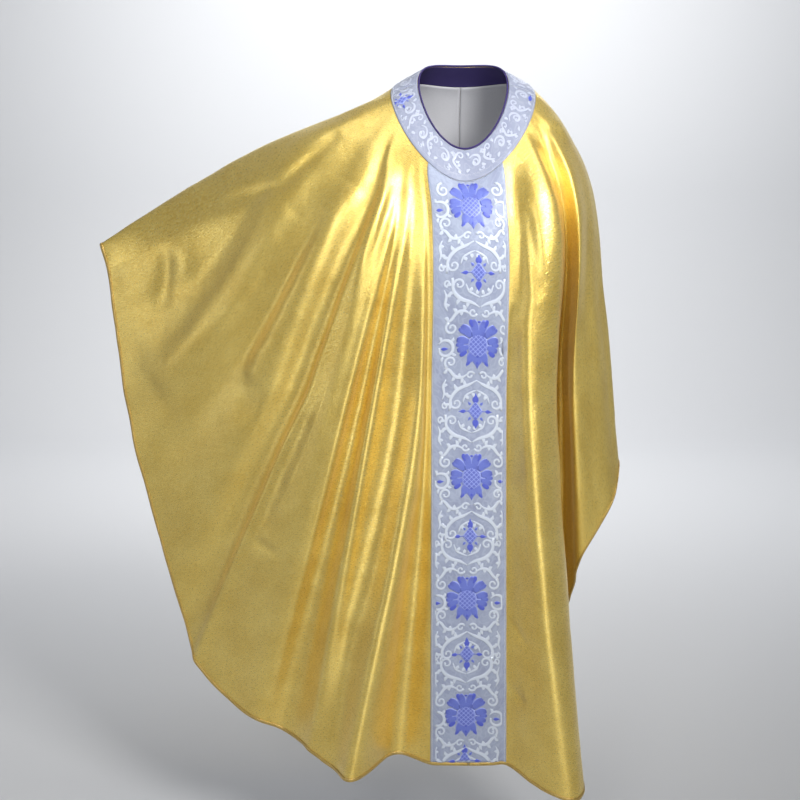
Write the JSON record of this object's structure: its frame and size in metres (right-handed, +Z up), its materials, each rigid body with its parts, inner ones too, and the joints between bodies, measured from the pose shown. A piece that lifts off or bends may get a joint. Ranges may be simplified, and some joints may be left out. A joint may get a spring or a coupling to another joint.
{
  "type": "chasuble",
  "caption": "Full poncho-shaped vestment with a wide neck band and a pillar orphrey front and back, worn over the shoulders, right arm raised.",
  "frame": {"origin": "centre of the neck opening, level with the wearer's shoulders", "axes": "+Z up, -Y the garment's front, +X the wearer's left, where the arm hangs down"},
  "size_m": [1.0425, 0.4369, 1.3646],
  "materials": {
    "gold_lame": "shiny gold lame with a fine crepe slub",
    "brocade": "silver-white scroll brocade with periwinkle figures",
    "facing": "matt indigo cotton",
    "lining": "smooth pale satin lining",
    "interfacing": "plain stiff canvas",
    "binding": "dark gold bias binding"
  },
  "bodies": {
    "root": {"back_right_shell": "gold_lame", "back_right_lining": "lining", "back_right_hem_binding": "binding", "front_right_shell": "gold_lame", "front_right_lining": "lining", "front_right_hem_binding": "binding", "front_left_shell": "gold_lame", "front_left_lining": "lining", "front_left_hem_binding": "binding", "back_left_shell": "gold_lame", "back_left_lining": "lining", "back_left_hem_binding": "binding", "front_neck_band": "brocade", "front_band_interfacing": "interfacing", "front_neck_facing": "facing", "front_orphrey": "brocade", "front_orphrey_interfacing": "interfacing", "back_neck_band": "brocade", "back_band_interfacing": "interfacing", "back_neck_facing": "facing", "back_orphrey": "brocade", "back_orphrey_interfacing": "interfacing", "neck_piping": "facing"}
  },
  "joints": []
}
